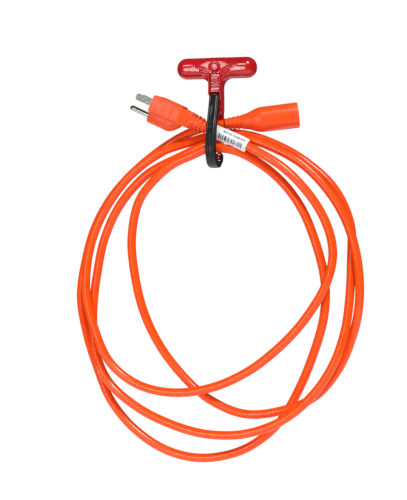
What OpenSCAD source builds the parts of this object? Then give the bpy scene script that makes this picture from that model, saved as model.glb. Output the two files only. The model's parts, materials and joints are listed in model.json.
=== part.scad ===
// Three-conductor extension cord, gathered in four hanging loops,
// held by a T-shaped carry handle whose toothed jaw closes round the loops.
// Millimetres. X runs along the grip, -Y is the front, +Z is up.
// The origin is the middle of the grip, straight above the handle's stem.

/* [Cord] */
// Diameter of the orange jacket
cord_d = 8.2; // [7.8:0.1:8.3]
// Sides of the plain jacket tube
cord_sides = 10; // [8:1:12]

/* [Carry handle] */
// Length of the grip, end to end
grip_len = 76; // [70:1:84]
// Height of the grip
grip_h = 19.5; // [18:0.5:21]
// Depth of the grip, front to back
grip_depth = 20; // [18:0.5:22]
// Width of the stem
stem_w = 12; // [12:0.5:14]
// Wall of the two half shells
shell_wall = 2.4; // [2:0.1:3]
// Width of the back bar
bar_w = 6.6; // [6.4:0.1:7.5]

/* [Jaw] */
// Width of the jaw arm
jaw_w = 9.5; // [9:0.1:10.5]
// Number of teeth on the rack
tooth_count = 7; // [4:1:7]

/* [Release] */
// Diameter of the round release button
button_d = 6.6; // [6:0.1:7]
// Travel of the ribbed lock slide
lock_travel = 2; // [1:0.1:2]

/* [Plug] */
// Length of a flat blade outside the plug
blade_len = 17.5; // [15.9:0.1:18.2]
// Height of a flat blade
blade_h = 6.35; // [6.2:0.05:6.5]
// Thickness of a flat blade
blade_t = 1.5; // [1.4:0.05:1.6]
// Distance between the two blades
blade_pitch = 12.7; // [12.6:0.05:12.8]
// Distance of the ground pin from the line of the blades
ground_offset = 11.9; // [11.8:0.05:12]
// Diameter of the ground pin
ground_d = 4.76; // [4.7:0.01:4.8]
// Length of the ground pin outside the plug
ground_len = 20.6; // [18:0.1:21.2]

/* [Connector] */
// Radius of the ground hole in the connector face
ground_hole_r = 2.6; // [2.5:0.05:2.8]
// Height of the connector body at its face
connector_h = 23.4; // [23:0.1:25]
// Width of the connector body at its face
connector_w = 27; // [26:0.1:29]

/* [Hidden] */
$fn = 64;

handle_red = "firebrick";
jaw_black = "#1c1c1e";
cord_orange = "#ff5a14";
steel = "silver";
eps = 0.01;

// ---------- carry handle ----------
grip_top = 9.3;
grip_bottom = grip_top - grip_h;
grip_end_r = 8;
fillet_r = 9;
stem_front = -9;
stem_back = 9;
stem_end_z = -41;
fillet_back = 5;
bar_front = 10.3;
bar_back = 13.8;
foot_w = 3;
foot_top_z = -77;

// Hinge of the jaw, in the YZ plane
hinge_y = 8;
hinge_z = -83;
hinge_r = 1.5;
hinge_play = 0.06;
knuckle_r = 3.8;
foot_r = 2.6;
foot_gap = 1;
cheek_gap = 0.3;

// The rack runs on an arc about the hinge
rack_r = 61;
rack_t = 6;
rack_w = 5.4;
rack_slot_w = 6.2;
rack_play = 0.35;
rack_front_deg = 16.6;
rack_tip_deg = -4.5;
tooth_deg = 2.3;
tooth_h = 1.1;

// Release works inside the stem
pawl_y = 4.2;
pawl_z = -11;
pawl_pin_r = 1;
pawl_boss_r = 2.3;
pawl_w = 4;
bay_w = 6.4;
button_y = -9.4;
button_len = 8;
dish_r = 5.2;
lock_w = 8.4;
lock_top = -8.6;
lock_bottom = -23.4;
lock_back = -6.6;

screw_xs = [-25, 25];
stem_screw_z = -36;
screw_r = 1.4;
screw_head_r = 2.7;
screw_head_h = 2;
boss_r = 3.6;

module rounded_rect(w, h, r) {
    square([w - 2 * r, h], center = true);
    square([w, h - 2 * r], center = true);
    for (x = [-1, 1], y = [-1, 1])
        translate([x * (w / 2 - r), y * (h / 2 - r)])
            circle(r);
}

// Extrudes a drawing of the YZ plane along X, centred
module along_x(w) {
    rotate([90, 0, 90])
        linear_extrude(w, center = true)
            children();
}

// Extrudes a drawing of the XZ plane along Y, from y0 to y1
module along_y(y0, y1) {
    translate([0, y1, 0])
        rotate([90, 0, 0])
            linear_extrude(y1 - y0)
                children();
}

module t_outline() {
    translate([0, (grip_top + grip_bottom) / 2])
        rounded_rect(grip_len, grip_h, grip_end_r);
    translate([-stem_w / 2, stem_end_z])
        square([stem_w, -stem_end_z]);
    for (s = [-1, 1])
        difference() {
            translate([s * (stem_w + fillet_r) / 2, grip_bottom - fillet_r / 2 + eps])
                square([fillet_r, fillet_r + 2 * eps], center = true);
            translate([s * (stem_w / 2 + fillet_r), grip_bottom - fillet_r])
                circle(fillet_r);
        }
}

// Side view of the stem and the bar that stands behind the cord
module stem_side() {
    polygon([
        [stem_front, 0], [stem_front, lock_bottom - 0.4], [-6, -31], [-4, -32],
        [-4, -38], [-1, stem_end_z], [6, -43], [bar_front, -48],
        [bar_front, -66], [6, foot_top_z], [5, -80], [11, -80], [11.6, foot_top_z],
        [bar_back, -66], [bar_back, -26], [stem_back, -12], [stem_back, 0]
    ]);
}

// Plan view of the stem, narrower towards its back
module stem_plan() {
    half = stem_w / 2;
    polygon([
        [-half, -10], [half, -10], [half, -2], [half - 1.7, stem_back], [half - 2, 16],
        [2 - half, 16], [1.7 - half, stem_back], [-half, -2]
    ]);
}

module handle_solid() {
    intersection() {
        along_y(-grip_depth / 2, grip_depth / 2)
            t_outline();
        union() {
            translate([0, 0, (grip_top + grip_bottom) / 2])
                along_x(grip_len)
                    rounded_rect(grip_depth, grip_h, grip_end_r);
            translate([-grip_len / 2, stem_front, -24])
                cube([grip_len, fillet_back - stem_front, 20]);
        }
    }
    intersection() {
        along_x(stem_w)
            stem_side();
        translate([0, 0, stem_end_z])
            linear_extrude(60)
                stem_plan();
    }
    intersection() {
        along_x(bar_w)
            stem_side();
        translate([-bar_w, -30, foot_top_z])
            cube([2 * bar_w, 60, 60]);
    }
    along_x(foot_w)
        intersection() {
            stem_side();
            translate([0, -92])
                square([40, 30]);
        }
    translate([0, hinge_y, hinge_z])
        rotate([0, 90, 0])
            cylinder(r = foot_r, h = foot_w, center = true);
}

// Space swept by the rack about the hinge
module rack_space(w, play) {
    translate([0, hinge_y, hinge_z])
        rotate([0, 90, 0])
            rotate([0, 0, 90])
                difference() {
                    cylinder(r = rack_r + play, h = w, center = true, $fn = 128);
                    cylinder(r = rack_r - rack_t - play, h = w + 1, center = true, $fn = 128);
                    translate([0, 100, 0])
                        cube([200, 200, w + 1], center = true);
                }
}

module rack_channel() {
    intersection() {
        rack_space(rack_slot_w, rack_play);
        translate([-10, -20, -40])
            cube([20, 40, 30]);
    }
}

module bay() {
    translate([-bay_w / 2, -4.4, -22.6])
        cube([bay_w, 11.4, 27.4]);
}

module button_bore() {
    translate([0, button_y - 4, 0])
        rotate([-90, 0, 0])
            cylinder(r = button_d / 2 + 0.15, h = 14);
}

module grip_hollows() {
    for (s = [-1, 1])
        difference() {
            translate([s * 21, 0, (grip_top + grip_bottom) / 2])
                cube([24, grip_depth - 2 * shell_wall, grip_h - 2 * shell_wall], center = true);
            translate([s * abs(screw_xs[1]), -15, 0])
                rotate([-90, 0, 0])
                    cylinder(r = boss_r, h = 30);
        }
}

// Places its child at each screw, with the screw's tip towards the front
module at_screws() {
    for (x = screw_xs)
        translate([x, grip_depth / 2, 0])
            children();
    translate([0, bar_back, stem_screw_z])
        children();
}

module screw_holes(r) {
    at_screws()
        rotate([90, 0, 0]) {
            translate([0, 0, -1])
                cylinder(r = screw_head_r + 0.15, h = screw_head_h + 2);
            cylinder(r = r, h = 16.2);
        }
}

module handle_shape() {
    difference() {
        handle_solid();
        rack_channel();
        bay();
        grip_hollows();
        button_bore();
        translate([0, stem_front - 4.6, 0])
            rotate([-90, 0, 0])
                cylinder(r = dish_r, h = 4.8);
        translate([-lock_w / 2 - 0.15, stem_front - 2, lock_bottom - 2])
            cube([lock_w + 0.3, lock_back - stem_front + 2, lock_top - lock_bottom + lock_travel + 2.4]);
        translate([-12, pawl_y, pawl_z])
            rotate([0, 90, 0])
                cylinder(r = pawl_pin_r, h = 17);
        translate([0, hinge_y, hinge_z])
            rotate([0, 90, 0])
                cylinder(r = hinge_r, h = 20, center = true);
        screw_holes(screw_r);
    }
}

module handle_front_shell() {
    color(handle_red)
        intersection() {
            handle_shape();
            translate([-60, -30, -60])
                cube([120, 30, 80]);
        }
}

module handle_back_shell() {
    color(handle_red)
        intersection() {
            handle_shape();
            translate([-60, 0, -100])
                cube([120, 30, 120]);
        }
}

module handle_screws() {
    color(steel)
        at_screws()
            rotate([90, 0, 0])
                difference() {
                    union() {
                        cylinder(r = screw_head_r, h = screw_head_h);
                        cylinder(r = screw_r, h = 15.8);
                    }
                    for (a = [0, 90])
                        rotate([0, 0, a])
                            cube([3.4, 0.8, 1.8], center = true);
                }
}

module release_button() {
    color(handle_red)
        translate([0, button_y, 0])
            rotate([-90, 0, 0]) {
                translate([0, 0, 0.6])
                    cylinder(r = button_d / 2, h = 5.2);
                cylinder(r1 = button_d / 2 - 0.6, r2 = button_d / 2, h = 0.6);
                cylinder(r = 1.2, h = button_len + 1.2);
            }
}

module button_spring() {
    spring_r = 2.1;
    wire_r = 0.25;
    turns = 4;
    color(steel)
        translate([0, button_y + 5.9, 0])
            rotate([-90, 0, 0])
                for (i = [0 : turns - 1])
                    translate([0, 0, wire_r + i * 0.9])
                        rotate_extrude()
                            translate([spring_r, 0])
                                circle(wire_r, $fn = 16);
}

module lock_slide() {
    rib_pitch = 3;
    color(handle_red)
        translate([-lock_w / 2, 0, lock_bottom]) {
            translate([0, lock_back - 1.2, 0])
                cube([lock_w, 1, lock_top - lock_bottom]);
            translate([0.8, lock_back - 2.6, 10.4])
                cube([lock_w - 1.6, 1.6, 3.2]);
            for (i = [1 : 3])
                translate([0.8, lock_back - 2.6, i * rib_pitch - 0.4])
                    cube([lock_w - 1.6, 1.6, 1.1]);
            translate([0, lock_back - 2.8, 0])
                cube([lock_w, 1.8, 1.4]);
        }
}

// Rocker: the button pushes its tail back, which lifts its toe off the rack
module pawl() {
    color(steel)
        difference() {
            union() {
                along_x(pawl_w)
                    polygon([
                        [0.3, 3], [0.15, -2], [1.4, -10], [-0.2, -15], [0.2, -22],
                        [1.6, -21.8], [3.2, -19], [4.6, -12], [5.6, -10], [4.8, -7], [2.2, 3]
                    ]);
                translate([0, pawl_y, pawl_z])
                    rotate([0, 90, 0])
                        cylinder(r = pawl_boss_r, h = pawl_w, center = true);
            }
            translate([0, pawl_y, pawl_z])
                rotate([0, 90, 0])
                    cylinder(r = pawl_pin_r + 0.05, h = 20, center = true);
        }
}

module pawl_pin() {
    color(steel)
        translate([-4.9, pawl_y, pawl_z])
            rotate([0, 90, 0])
                cylinder(r = pawl_pin_r, h = 9.8);
}

module pawl_spring() {
    leaf_t = 0.35;
    color(steel)
        along_x(3)
            polygon([
                [7, -2], [7, -12], [7 - leaf_t, -12], [7 - leaf_t, -2]
            ]);
}

// ---------- jaw ----------
// Outer face of the jaw from the stem down to the foot: [y, z]
jaw_outer = [
    [-9.6, -25.4], [-11.2, -27.8], [-13, -33], [-17, -44], [-21.5, -57],
    [-24, -69], [-24.6, -77], [-23.4, -84], [-19.6, -90], [-13, -93],
    [-4, -93.2], [3, -92], [8.6, -88.2]
];
// Inner face, back up to the stem
jaw_inner = [
    [5.5, -85.6], [1, -86.8], [-4, -87.2], [-11.4, -86.8], [-15.4, -84.4],
    [-18, -80], [-18.4, -76], [-18, -68], [-16, -57.6], [-11.4, -45],
    [-7.8, -36], [-7, -32.2]
];
// Where the arm joins the knuckle
jaw_foot = [[5, -86.2], [8.4, -88.6], [11.2, -85.5], [10, -81], [5, -81]];
jaw_foot_w = 6.4;

// Smooth curve through a list of points, n steps for each span
function spline_at(p0, p1, p2, p3, t) =
    0.5 * (2 * p1 + (p2 - p0) * t + (2 * p0 - 5 * p1 + 4 * p2 - p3) * t * t
        + (3 * p1 - p0 - 3 * p2 + p3) * t * t * t);
function smooth(points, n) = [
    for (i = [0 : len(points) - 2], k = [0 : n - 1])
        spline_at(
            points[max(i - 1, 0)], points[i], points[i + 1],
            points[min(i + 2, len(points) - 1)], k / n
        ),
    points[len(points) - 1]
];

module rack() {
    difference() {
        intersection() {
            rack_space(rack_w, 0);
            translate([0, hinge_y, hinge_z])
                along_x(20)
                    polygon([
                        [0, 0],
                        100 * [-sin(rack_front_deg + 1), cos(rack_front_deg + 1)],
                        100 * [-sin(rack_tip_deg), cos(rack_tip_deg)]
                    ]);
        }
        for (i = [0 : tooth_count - 1])
            translate([0, hinge_y, hinge_z])
                rotate([rack_tip_deg + 3 + i * tooth_deg, 0, 0])
                    translate([0, 0, rack_r])
                        along_x(pawl_w + 0.8)
                            polygon([[-1.1, 1], [-1.1, -tooth_h], [1.2, 0.05], [1.2, 1]]);
    }
}

// Plan view of the jaw, narrower towards its hinge
module jaw_plan() {
    half = jaw_w / 2;
    foot = jaw_foot_w / 2;
    polygon([
        [-half, -30], [half, -30], [half, -10], [foot, 4], [foot, 20],
        [-foot, 20], [-foot, 4], [-half, -10]
    ]);
}

module jaw_arm() {
    color(jaw_black)
        difference() {
            union() {
                intersection() {
                    along_x(jaw_w)
                        polygon(concat(smooth(jaw_outer, 4), smooth(jaw_inner, 4)));
                    translate([0, 0, -100])
                        linear_extrude(90)
                            jaw_plan();
                }
                translate([0, hinge_y, hinge_z])
                    rotate([0, 90, 0])
                        cylinder(r = knuckle_r, h = jaw_foot_w, center = true);
                along_x(jaw_foot_w)
                    polygon(jaw_foot);
                rack();
            }
            translate([0, hinge_y, hinge_z])
                rotate([0, 90, 0]) {
                    cylinder(r = hinge_r + hinge_play, h = 20, center = true);
                    cylinder(r = knuckle_r + foot_gap, h = foot_w + 2 * cheek_gap, center = true);
                }
            translate([0, hinge_y, hinge_z + 5])
                cube([foot_w + 2 * cheek_gap, 12, 10], center = true);
        }
}

module jaw_pin() {
    color(steel)
        translate([-jaw_foot_w / 2, hinge_y, hinge_z])
            rotate([0, 90, 0])
                cylinder(r = hinge_r, h = jaw_foot_w);
}

// ---------- plug ----------
// Cord end of the plug's strain relief, and the slope of the plug's axis
plug_at = [-0.5, -9.3, -59.4];
plug_slope = 24.7;
plug_relief_len = 24;
plug_body_len = 39;
plug_len = plug_relief_len + plug_body_len;
plug_w = 25;
plug_h = 16.5;
relief_d = 10.4;
relief_end_d = 14.6;
spine_w = 4.4;
groove_depth = 1.1;
bridge_len = 5;
ledge_len = 33;
ledge_w = 17;
blade_tail = 13;
crimp_len = 6;
crimp_x = plug_len - bridge_len - blade_tail - crimp_len + 2;
tail_x = crimp_x + crimp_len;
crimp_r = 2.1;
wire_r = 1.3;
wire_start_r = 2.2;
wire_sides = 12;
line_y = -blade_pitch / 2;
neutral_y = blade_pitch / 2;

// Local x runs from the cord to the blades, local +z is the ground side
module at_plug() {
    translate(plug_at)
        rotate([0, 180 + plug_slope, 0])
            children();
}

module along_local_x(x0) {
    translate([x0, 0, 0])
        rotate([0, 90, 0])
            children();
}

// Straight rod between two points
module rod(from, to, r) {
    d = to - from;
    translate(from)
        rotate([0, acos(d[2] / norm(d)), atan2(d[1], d[0])])
            cylinder(r = r, h = norm(d), $fn = 24);
}

// Tapered relief from radius r0 to r1 along local x, with grooves above and below two spines
module relief(length, r0, r1, grooves) {
    pitch = length / (grooves + 1);
    groove_w = pitch * 0.4;
    along_local_x(0)
        difference() {
            cylinder(r1 = r0, r2 = r1, h = length);
            for (i = [1 : grooves])
                translate([0, 0, (i - 0.45) * pitch])
                    difference() {
                        cylinder(r = r1 + 2, h = groove_w);
                        translate([0, 0, -1])
                            cylinder(r = r0 + (r1 - r0) * i / (grooves + 1) - groove_depth, h = groove_w + 2);
                        translate([-spine_w / 2, -r1 - 3, -1])
                            cube([spine_w, 2 * r1 + 6, groove_w + 2]);
                    }
        }
}

plug_wire_ends = [[line_y, 0], [neutral_y, 0], [0, ground_offset]];

module plug_wire_rods() {
    for (e = plug_wire_ends) {
        start = [0, e[0], e[1]] * wire_start_r / norm(e);
        bend = [plug_relief_len + 7, start[1] * 1.6, start[2] * 1.6];
        tube([start, bend, [crimp_x, e[0], e[1]]], wire_r, wire_sides);
    }
}

module plug_crimp_rods() {
    for (e = plug_wire_ends)
        translate([crimp_x, e[0], e[1]])
            rotate([0, 90, 0])
                cylinder(r = crimp_r, h = crimp_len);
}

module blade_shape(y) {
    difference() {
        translate([tail_x, y - blade_t / 2, -blade_h / 2])
            cube([plug_len + blade_len - tail_x, blade_t, blade_h]);
        translate([plug_len + 11.9, y, 0])
            rotate([90, 0, 0])
                cylinder(d = 3.2, h = 4, center = true);
        for (s = [-1, 1])
            translate([plug_len + blade_len, y, s * blade_h / 2])
                rotate([0, 45, 0])
                    cube([1.8, 4, 1.8], center = true);
    }
}

// Round pin with a slimmer tail inside the body
module ground_shape() {
    shank = ground_len - ground_d / 2;
    translate([0, 0, ground_offset]) {
        along_local_x(tail_x)
            cylinder(d = ground_d - 1, h = plug_len - tail_x + eps);
        along_local_x(plug_len) {
            cylinder(d = ground_d, h = shank);
            translate([0, 0, shank])
                sphere(d = ground_d);
        }
    }
}

module bridge_shape() {
    translate([plug_len - bridge_len - 1.5, 0, 0])
        rotate([0, 90, 0])
            linear_extrude(bridge_len) {
                rounded_rect(11, 20, 2);
                translate([-ground_offset, 0])
                    circle(4.6);
                translate([-ground_offset / 2, 0])
                    square([ground_offset, 9], center = true);
            }
}

module plug_outer() {
    hull()
        for (e = [[plug_relief_len, 13.4, 15], [plug_relief_len + 9, 15.2, 22], [plug_len, plug_h, plug_w]])
            translate([e[0] - 0.5, 0, 0])
                rotate([0, 90, 0])
                    linear_extrude(0.5)
                        rounded_rect(e[1], e[2], 3, $fn = 32);
    hull() {
        along_local_x(plug_len - 21)
            translate([-ground_offset, 0, 0])
                cylinder(r = 6.3, h = 21, $fn = 32);
        translate([0, 0, ground_offset - 3])
            along_local_x(plug_len - 27)
                cylinder(r = 5, h = 4, $fn = 32);
        along_local_x(plug_len - 31)
            cylinder(r = 5.5, h = 31, $fn = 32);
    }
    translate([plug_len - ledge_len, -ledge_w / 2, -plug_h / 2 - 0.9])
        cube([ledge_len, ledge_w, 3]);
}

module plug_body() {
    color(cord_orange)
        at_plug()
            difference() {
                union() {
                    relief(plug_relief_len + eps, relief_d / 2, relief_end_d / 2, 5);
                    plug_outer();
                }
                plug_wire_rods();
                plug_crimp_rods();
                bridge_shape();
                blade_shape(line_y);
                blade_shape(neutral_y);
                ground_shape();
            }
}

module plug_bridge() {
    color("#e9e4d8")
        at_plug()
            difference() {
                bridge_shape();
                blade_shape(line_y);
                blade_shape(neutral_y);
                ground_shape();
            }
}

module line_blade() {
    color(steel)
        at_plug()
            blade_shape(line_y);
}

module neutral_blade() {
    color(steel)
        at_plug()
            blade_shape(neutral_y);
}

module ground_pin() {
    color(steel)
        at_plug()
            ground_shape();
}

module plug_crimps() {
    color("goldenrod")
        at_plug()
            plug_crimp_rods();
}

module plug_wires() {
    color("seagreen")
        at_plug()
            plug_wire_rods();
}

// ---------- connector ----------
// Cord end of the connector's strain relief, its slope and its turn about Z
connector_at = [7, 0.5, -52.4];
connector_slope = 7;
connector_turn = 16;
connector_relief_len = 20;
connector_flare = 11;
connector_len = 69;
socket_depth = 14;
slot_t = 2.2;
slot_h = 7.4;
neutral_slot_h = 8.6;
core_len = 22;
contact_len = 12;
connector_mid = -ground_offset / 2 + 0.85;
core_r = 6;

// Local x runs from the cord to the face, local z is up
module at_connector() {
    translate(connector_at)
        rotate([0, 0, connector_turn])
            rotate([0, -connector_slope, 0])
                children();
}

module connector_section(w, h, t) {
    rotate([0, 90, 0])
        linear_extrude(t)
            rounded_rect(h, w, 0.46 * h, $fn = 32);
}

module connector_outer() {
    hull() {
        along_local_x(connector_relief_len - 1)
            cylinder(r = 6.8, h = 1, $fn = 32);
        translate([connector_relief_len + connector_flare, 0, 0])
            connector_section(connector_w - 2.4, connector_h - 0.4, 1);
    }
    hull() {
        translate([connector_relief_len + connector_flare, 0, 0])
            connector_section(connector_w - 2.4, connector_h - 0.4, 1);
        translate([connector_len - 1, 0, 0])
            connector_section(connector_w, connector_h, 1);
    }
}

socket_places = [[line_y, connector_mid], [neutral_y, connector_mid], [0, connector_mid + ground_offset]];

module core_shape() {
    translate([connector_len - core_len, 0, 0])
        rotate([0, 90, 0])
            linear_extrude(core_len)
                rounded_rect(connector_h - 3.8, connector_w - 5, core_r);
}

module slots() {
    for (k = [0, 1])
        let (h = k == 0 ? slot_h : neutral_slot_h, p = socket_places[k])
            translate([connector_len - socket_depth, p[0] - slot_t / 2, p[1] - h / 2])
                cube([socket_depth + 1, slot_t, h]);
    translate([connector_len - socket_depth, 0, socket_places[2][1]])
        rotate([0, 90, 0])
            cylinder(r = ground_hole_r, h = socket_depth + 1);
}

// Spring contact in a pocket behind the mouth of its slot
module contact_shape(p) {
    translate([connector_len - socket_depth - contact_len / 2, p[0] - 1.6, p[1] - 3])
        cube([contact_len / 2, 3.2, 6]);
    translate([connector_len - core_len - 4, p[0], p[1]])
        rotate([0, 90, 0])
            cylinder(r = 1.8, h = core_len - socket_depth - contact_len / 2 + 4 + eps);
}

module connector_wire_rods() {
    for (p = socket_places)
        rod(
            [0, p[0] * wire_start_r / 7, p[1] * wire_start_r / 7],
            [connector_len - core_len - 4, p[0], p[1]],
            wire_r
        );
}

module connector_body() {
    color(cord_orange)
        at_connector()
            difference() {
                union() {
                    relief(connector_relief_len, 4.9, 6.8, 4);
                    connector_outer();
                }
                core_shape();
                for (p = socket_places)
                    contact_shape(p);
                connector_wire_rods();
                slots();
            }
}

module connector_core() {
    color("#e04c10")
        at_connector()
            difference() {
                core_shape();
                slots();
                for (p = socket_places)
                    contact_shape(p);
            }
}

module line_contact() {
    color("goldenrod")
        at_connector()
            contact_shape(socket_places[0]);
}

module neutral_contact() {
    color("goldenrod")
        at_connector()
            contact_shape(socket_places[1]);
}

module ground_contact() {
    color("goldenrod")
        at_connector()
            contact_shape(socket_places[2]);
}

module connector_wires() {
    color("seagreen")
        at_connector()
            connector_wire_rods();
}

// ---------- cord ----------
// Route of the cord's middle, from the plug to the connector, as it hangs
route = [
    // first loop
    plug_at, [32, -10, -74], [69, -10, -97], [98, -9, -131], [111, -9, -166],
    [106, -9, -198], [88, -9, -229], [64, -9, -256], [32, -9, -281], [-4, -9, -297],
    [-41, -9, -302], [-75, -9, -295], [-102, -9, -275], [-117, -9, -245],
    [-126, -8, -211], [-124, -6, -172], [-111, -5, -136], [-86, -5, -102],
    [-55, -4, -79], [-29, 0, -69.5],
    // second loop
    [-5, 5.2, -62.5], [20, 7.3, -61.3], [49, 9.5, -69.5], [81, 9, -87], [109, 9, -113],
    [124, 9, -146], [125, 8, -182], [124, 4, -216], [120, 0, -246], [109, -4, -277],
    [89, -6, -305], [61, -6, -327], [27, -6, -339], [-9, -6, -340], [-43, -5, -332],
    [-77, -3, -317], [-106, -1, -294], [-120, 0, -263], [-122, 0, -228],
    [-118, 0, -192], [-110, 0, -157], [-94, 0.5, -125], [-68, 1, -98], [-34, -1, -81.5],
    // third loop
    [-3, -1, -68.5], [22, -1, -65.5], [51, -1, -74], [83, -1, -92], [109, -1, -120],
    [125, -1, -150], [133, 0, -184], [133, 4, -218], [126, 9, -248], [112, 9, -280],
    [90, 6, -305], [58, 3, -318], [24, 3, -321], [-9, 3, -308], [-35, 3, -286],
    [-57, 2, -258], [-72, 0, -226], [-80, -2, -191], [-82, -4, -156], [-73, -6, -121],
    [-47, -9, -94], [-23, -9, -82],
    // fourth loop
    [-1, -8.5, -75], [26, -5, -80.5], [56, 0, -101], [79, 0, -129], [94, 0, -164],
    [102, 1, -199], [100, 4, -232], [89, 8, -267], [73, 13, -302], [54, 12, -332],
    [23, 10, -355], [-15, 8, -364], [-51, 8, -358], [-83, 8, -339], [-107, 8, -312],
    [-121, 9, -281], [-131, 7, -248], [-136, 5, -214], [-131, 4, -180], [-121, 4, -147],
    [-103, 4, -117], [-76, 4, -90], [-45, 5, -68], [-18, 3, -56.5],
    connector_at
];

function unit(v) = v / norm(v);
function heading(path, i) =
    unit(path[min(i + 1, len(path) - 1)] - path[max(i - 1, 0)]);
function ring(centre, along, r, sides) =
    let (side = unit(cross(along, [0, 1, 0])), up = cross(side, along))
    [for (k = [0 : sides - 1]) centre + r * (cos(360 * k / sides) * side + sin(360 * k / sides) * up)];

// Round tube along a path, one ring of points at each of the path's points
module tube(path, r, sides) {
    rings = len(path);
    points = [for (i = [0 : rings - 1]) each ring(path[i], heading(path, i), r, sides)];
    walls = [
        for (i = [0 : rings - 2], k = [0 : sides - 1])
            let (a = i * sides + k, b = i * sides + (k + 1) % sides)
            each [[a, b, a + sides], [b, b + sides, a + sides]]
    ];
    ends = [
        [for (k = [sides - 1 : -1 : 0]) k],
        [for (k = [0 : sides - 1]) (rings - 1) * sides + k]
    ];
    polyhedron(points, concat(walls, ends));
}

module cord() {
    color(cord_orange)
        tube(route, cord_d / 2, cord_sides);
}

label_len = 35;
label_h = 12.2;
label_t = 0.6;

// Wrap label: a sleeve on the cord whose long edges are pressed flat together
module cord_label() {
    color("white")
        at_plug()
            translate([-label_len - 0.2, 0, 0])
                rotate([0, 90, 0])
                    linear_extrude(label_len)
                        difference() {
                            union() {
                                circle(cord_d / 2 + label_t);
                                square([label_h, 1], center = true);
                            }
                            circle(cord_d / 2);
                        }
}

handle_front_shell();
handle_back_shell();
handle_screws();
release_button();
button_spring();
lock_slide();
pawl();
pawl_pin();
pawl_spring();
jaw_arm();
jaw_pin();
plug_body();
plug_bridge();
line_blade();
neutral_blade();
ground_pin();
plug_crimps();
plug_wires();
connector_body();
connector_core();
line_contact();
neutral_contact();
ground_contact();
connector_wires();
cord();
cord_label();
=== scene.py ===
import json
import math

import bpy
import numpy as np
import openvdb
from mathutils import Matrix, Vector


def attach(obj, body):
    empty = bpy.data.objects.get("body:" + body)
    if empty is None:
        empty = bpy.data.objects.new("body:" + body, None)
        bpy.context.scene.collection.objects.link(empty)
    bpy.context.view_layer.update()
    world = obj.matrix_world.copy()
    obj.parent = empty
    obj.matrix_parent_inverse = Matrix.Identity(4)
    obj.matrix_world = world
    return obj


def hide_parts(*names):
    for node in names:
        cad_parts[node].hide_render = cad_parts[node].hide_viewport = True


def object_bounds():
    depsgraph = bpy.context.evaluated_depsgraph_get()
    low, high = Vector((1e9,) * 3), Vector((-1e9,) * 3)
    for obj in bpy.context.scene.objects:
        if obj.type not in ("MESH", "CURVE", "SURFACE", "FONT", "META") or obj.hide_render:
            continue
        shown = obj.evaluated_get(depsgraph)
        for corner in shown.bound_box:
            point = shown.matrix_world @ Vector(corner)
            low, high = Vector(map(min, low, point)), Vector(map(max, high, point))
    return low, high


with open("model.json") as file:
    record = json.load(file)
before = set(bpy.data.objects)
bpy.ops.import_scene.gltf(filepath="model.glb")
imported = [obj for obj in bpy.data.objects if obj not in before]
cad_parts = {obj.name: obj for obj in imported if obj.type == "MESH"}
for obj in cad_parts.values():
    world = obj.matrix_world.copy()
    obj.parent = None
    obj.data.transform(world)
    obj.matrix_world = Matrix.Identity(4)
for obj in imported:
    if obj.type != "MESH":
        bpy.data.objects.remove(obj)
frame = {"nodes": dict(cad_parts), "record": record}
cad_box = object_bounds()

# The moulded pieces and the cord's route are drawn in millimetres, and the scene is in metres.
MM = 0.001

# ---------- camera ----------
CAMERA_AZIMUTH = math.radians(16)
CAMERA_AIM = Vector((-0.0121, -0.0035, -0.1693))
CAMERA_DISTANCE = 1.6
CAMERA_FOCAL_MM = 124
CAMERA_SENSOR_MM = 36


def make_camera():
    camera = bpy.data.objects.new("camera", bpy.data.cameras.new("camera"))
    bpy.context.collection.objects.link(camera)
    camera.data.lens = CAMERA_FOCAL_MM
    camera.data.sensor_width = CAMERA_SENSOR_MM
    away = Vector((math.sin(CAMERA_AZIMUTH), -math.cos(CAMERA_AZIMUTH), 0))
    camera.location = CAMERA_AIM + CAMERA_DISTANCE * away
    camera.rotation_euler = (math.radians(90), 0, CAMERA_AZIMUTH)
    bpy.context.scene.camera = camera


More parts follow.
